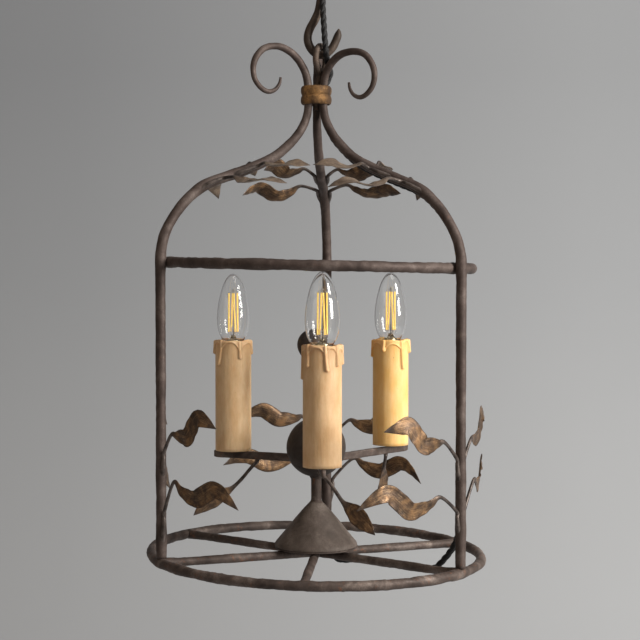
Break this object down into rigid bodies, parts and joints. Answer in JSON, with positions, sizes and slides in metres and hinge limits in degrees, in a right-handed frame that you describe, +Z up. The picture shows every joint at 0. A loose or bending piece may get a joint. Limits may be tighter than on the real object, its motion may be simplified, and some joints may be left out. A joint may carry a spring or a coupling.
{
  "type": "hanging lantern",
  "caption": "Wrought-iron bird-cage hanging lantern with scrolled uprights, forged leaves and dripping candle lights, hung by an S-hook and twisted flex from a ceiling rose.",
  "frame": {"origin": "middle of the ceiling plate's upper face, which meets the ceiling", "axes": "+Z up out of the ceiling plate, -Z down along the hanging lantern, +X to the right and -Y towards the front candle"},
  "size_m": [0.354, 0.3579, 0.7069],
  "materials": {
    "iron": "hand-forged, dark brown-grey with worn edges",
    "gilt_iron": "worn bronze gilding over dark sheet iron",
    "gilt": "rubbed gold leaf over dark iron",
    "flex_cover": "black braided covering, twisted",
    "black_plastic": "moulded black",
    "wax": "satin candle wax, honey-coloured",
    "glass": "clear blown glass",
    "cap_brass": "thin spun screw cap",
    "filament": "yellow phosphor sticks"
  },
  "bodies": {
    "ceiling": {"ceiling_plate": "iron", "ceiling_cup": "iron", "ceiling_hook": "iron", "cord_gland": "black_plastic", "flex_upper": "flex_cover"},
    "hook": {"s_hook": "iron"},
    "cage": {"arm_front": "iron", "arm_leaf_front": "gilt_iron", "arm_leaf_left": "gilt_iron", "arm_leaf_right": "gilt_iron", "arm_left": "iron", "arm_right": "iron", "base_bar_back_left": "iron", "base_bar_back_right": "iron", "base_bar_left": "iron", "base_bar_right": "iron", "base_bar_through": "iron", "base_cone": "iron", "base_plate": "iron", "base_ring": "iron", "collar": "gilt", "column": "iron", "finial": "iron", "flex_bush": "black_plastic", "flex_lower": "flex_cover", "flex_run": "flex_cover", "hanging_eye": "iron", "junction_ball": "iron", "lampholder_front": "black_plastic", "lampholder_left": "black_plastic", "lampholder_right": "black_plastic", "leaves_back_high_1": "gilt_iron", "leaves_back_high_2": "gilt_iron", "leaves_back_low_1": "gilt_iron", "leaves_back_low_2": "gilt_iron", "leaves_left_high_1": "gilt_iron", "leaves_left_high_2": "gilt_iron", "leaves_left_low_1": "gilt_iron", "leaves_left_low_2": "gilt_iron", "leaves_right_high_1": "gilt_iron", "leaves_right_high_2": "gilt_iron", "leaves_right_low_1": "gilt_iron", "leaves_right_low_2": "gilt_iron", "upper_ring": "iron", "upright_back": "iron", "upright_left": "iron", "upright_right": "iron"},
    "sleeve_front": {"candle_sleeve_front": "wax"},
    "bulb_front": {"bulb_cap_front": "cap_brass", "bulb_glass_front": "glass", "bulb_filament_front": "filament"},
    "sleeve_left": {"candle_sleeve_left": "wax"},
    "bulb_left": {"bulb_cap_left": "cap_brass", "bulb_glass_left": "glass", "bulb_filament_left": "filament"},
    "sleeve_right": {"candle_sleeve_right": "wax"},
    "bulb_right": {"bulb_cap_right": "cap_brass", "bulb_glass_right": "glass", "bulb_filament_right": "filament"}
  },
  "joints": [
    {"name": "hook_swing", "type": "hinge", "parent": "ceiling", "child": "hook", "pos_m": [0, 0, -0.074], "axis": [0, 1, 0], "range_deg": [-25, 25], "deforming": ["flex_upper"]},
    {"name": "cage_swing", "type": "hinge", "parent": "hook", "child": "cage", "pos_m": [0, 0, -0.1791], "axis": [1, 0, 0], "range_deg": [-25, 25], "deforming": ["flex_lower"]},
    {"name": "sleeve_lift_front", "type": "slide", "parent": "cage", "child": "sleeve_front", "axis": [0, 0, 1], "range_m": [0, 0.115]},
    {"name": "bulb_unscrew_front", "type": "slide", "parent": "cage", "child": "bulb_front", "axis": [0, 0, 1], "range_m": [0, 0.03]},
    {"name": "sleeve_lift_left", "type": "slide", "parent": "cage", "child": "sleeve_left", "axis": [0, 0, 1], "range_m": [0, 0.115]},
    {"name": "bulb_unscrew_left", "type": "slide", "parent": "cage", "child": "bulb_left", "axis": [0, 0, 1], "range_m": [0, 0.03]},
    {"name": "sleeve_lift_right", "type": "slide", "parent": "cage", "child": "sleeve_right", "axis": [0, 0, 1], "range_m": [0, 0.115]},
    {"name": "bulb_unscrew_right", "type": "slide", "parent": "cage", "child": "bulb_right", "axis": [0, 0, 1], "range_m": [0, 0.03]}
  ]
}
